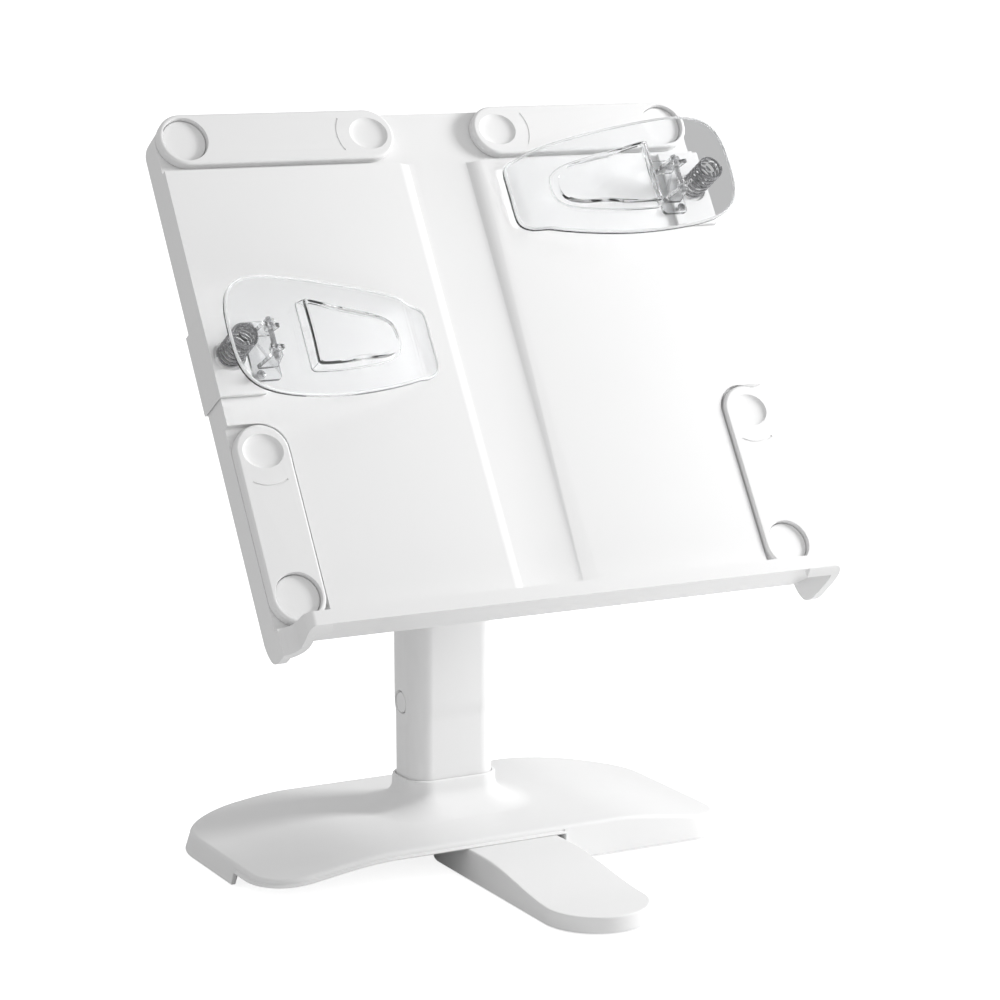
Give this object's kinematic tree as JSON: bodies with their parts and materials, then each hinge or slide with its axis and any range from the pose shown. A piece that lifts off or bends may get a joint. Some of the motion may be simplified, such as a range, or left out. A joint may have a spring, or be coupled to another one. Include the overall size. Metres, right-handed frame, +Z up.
{
  "type": "portable drawing board",
  "caption": "Portable tilting drawing and reading board with page clips and swing-out arms, on a height-adjustable column and a base with a fold-out front leg.",
  "frame": {"origin": "centre of the bounding box's bottom, on the ground the feet rest on", "axes": "+X to the viewer's right along the board's width, +Y to the back, +Z up"},
  "size_m": [0.3326, 0.273, 0.4204],
  "materials": {
    "white_plastic": "satin",
    "clear_plastic": "polished clear",
    "steel": "zinc plated",
    "spring_steel": "oiled wire",
    "rubber": "matte"
  },
  "bodies": {
    "base": {"base_shell": "white_plastic", "base_plate": "white_plastic", "column": "white_plastic", "leg_pivot_bolt": "steel", "leg_pivot_washer": "steel", "height_spring": "spring_steel", "base_foot_1": "rubber", "base_foot_2": "rubber", "base_foot_3": "rubber", "base_screw_1": "steel", "base_screw_2": "steel", "base_screw_3": "steel", "base_screw_4": "steel"},
    "leg": {"front_leg": "white_plastic", "leg_foot": "rubber"},
    "height_button": {"height_button": "white_plastic"},
    "riser": {"riser": "white_plastic"},
    "board": {"board": "white_plastic", "back_cover_left": "white_plastic", "back_cover_right": "white_plastic", "hinge_bracket": "white_plastic", "hinge_bolt": "steel", "hinge_nut": "steel", "hinge_washer_left": "steel", "hinge_washer_right": "steel", "bracket_screw_1": "steel", "bracket_screw_2": "steel", "bracket_screw_3": "steel", "bracket_screw_4": "steel", "arm_pin_top_left": "white_plastic", "arm_pin_top_right": "white_plastic", "arm_pin_bottom_left": "white_plastic", "arm_pin_bottom_right": "white_plastic"},
    "arm_top_left": {"arm_top_left": "white_plastic"},
    "arm_top_right": {"arm_top_right": "white_plastic"},
    "arm_bottom_left": {"arm_bottom_left": "white_plastic"},
    "arm_bottom_right": {"arm_bottom_right": "white_plastic"},
    "clip_left": {"clip_base_left": "white_plastic", "clip_bracket_left": "clear_plastic", "clip_pin_left": "steel", "clip_screw_left_lower": "steel", "clip_screw_left_upper": "steel", "clip_spring_left": "spring_steel"},
    "clip_lever_left": {"clip_lever_left": "clear_plastic"},
    "clip_right": {"clip_base_right": "white_plastic", "clip_bracket_right": "clear_plastic", "clip_pin_right": "steel", "clip_screw_right_lower": "steel", "clip_screw_right_upper": "steel", "clip_spring_right": "spring_steel"},
    "clip_lever_right": {"clip_lever_right": "clear_plastic"}
  },
  "joints": [
    {"name": "leg_swing", "type": "hinge", "parent": "base", "child": "leg", "pos_m": [0.002, 0.017, 0.01], "axis": [0, 0, -1], "range_deg": [0, 90]},
    {"name": "height_button_press", "type": "slide", "parent": "base", "child": "height_button", "axis": [1, 0, 0], "range_m": [0, 0.002], "stiffness_N_per_m": 400, "springref_m": -0.003, "deforming": ["height_spring"]},
    {"name": "height_slide", "type": "slide", "parent": "base", "child": "riser", "axis": [0, 0, 1], "range_m": [0, 0.065]},
    {"name": "board_tilt", "type": "hinge", "parent": "riser", "child": "board", "pos_m": [0, 0.0626, 0.3092], "axis": [-1, 0, 0], "range_deg": [-22, 47]},
    {"name": "arm_swing_top_left", "type": "hinge", "parent": "board", "child": "arm_top_left", "pos_m": [-0.1495, 0.08005, 0.40634], "axis": [0, -0.8462, 0.5329], "range_deg": [0, 180]},
    {"name": "arm_swing_top_right", "type": "hinge", "parent": "board", "child": "arm_top_right", "pos_m": [0.1495, 0.08005, 0.40634], "axis": [0, 0.8462, -0.5329], "range_deg": [0, 180]},
    {"name": "arm_swing_bottom_left", "type": "hinge", "parent": "board", "child": "arm_bottom_left", "pos_m": [-0.1495, -0.06111, 0.18219], "axis": [0, -0.8462, 0.5329], "range_deg": [0, 90]},
    {"name": "arm_swing_bottom_right", "type": "hinge", "parent": "board", "child": "arm_bottom_right", "pos_m": [0.1495, -0.06111, 0.18219], "axis": [0, 0.8462, -0.5329], "range_deg": [0, 90]},
    {"name": "clip_slide_left", "type": "slide", "parent": "board", "child": "clip_left", "axis": [0, 0.5329, 0.8462], "range_m": [-0.015, 0.088]},
    {"name": "clip_press_left", "type": "hinge", "parent": "clip_left", "child": "clip_lever_left", "pos_m": [-0.1375, -0.00646, 0.30838], "axis": [0, -0.5329, -0.8462], "range_deg": [0, 16], "stiffness_Nm_per_rad": 1.5, "springref_deg": -17.19, "deforming": ["clip_spring_left"]},
    {"name": "clip_slide_right", "type": "slide", "parent": "board", "child": "clip_right", "axis": [0, 0.5329, 0.8462], "range_m": [-0.101, 0]},
    {"name": "clip_press_right", "type": "hinge", "parent": "clip_right", "child": "clip_lever_right", "pos_m": [0.1375, 0.03936, 0.38115], "axis": [0, 0.5329, 0.8462], "range_deg": [0, 16], "stiffness_Nm_per_rad": 1.5, "springref_deg": -17.19, "deforming": ["clip_spring_right"]}
  ]
}
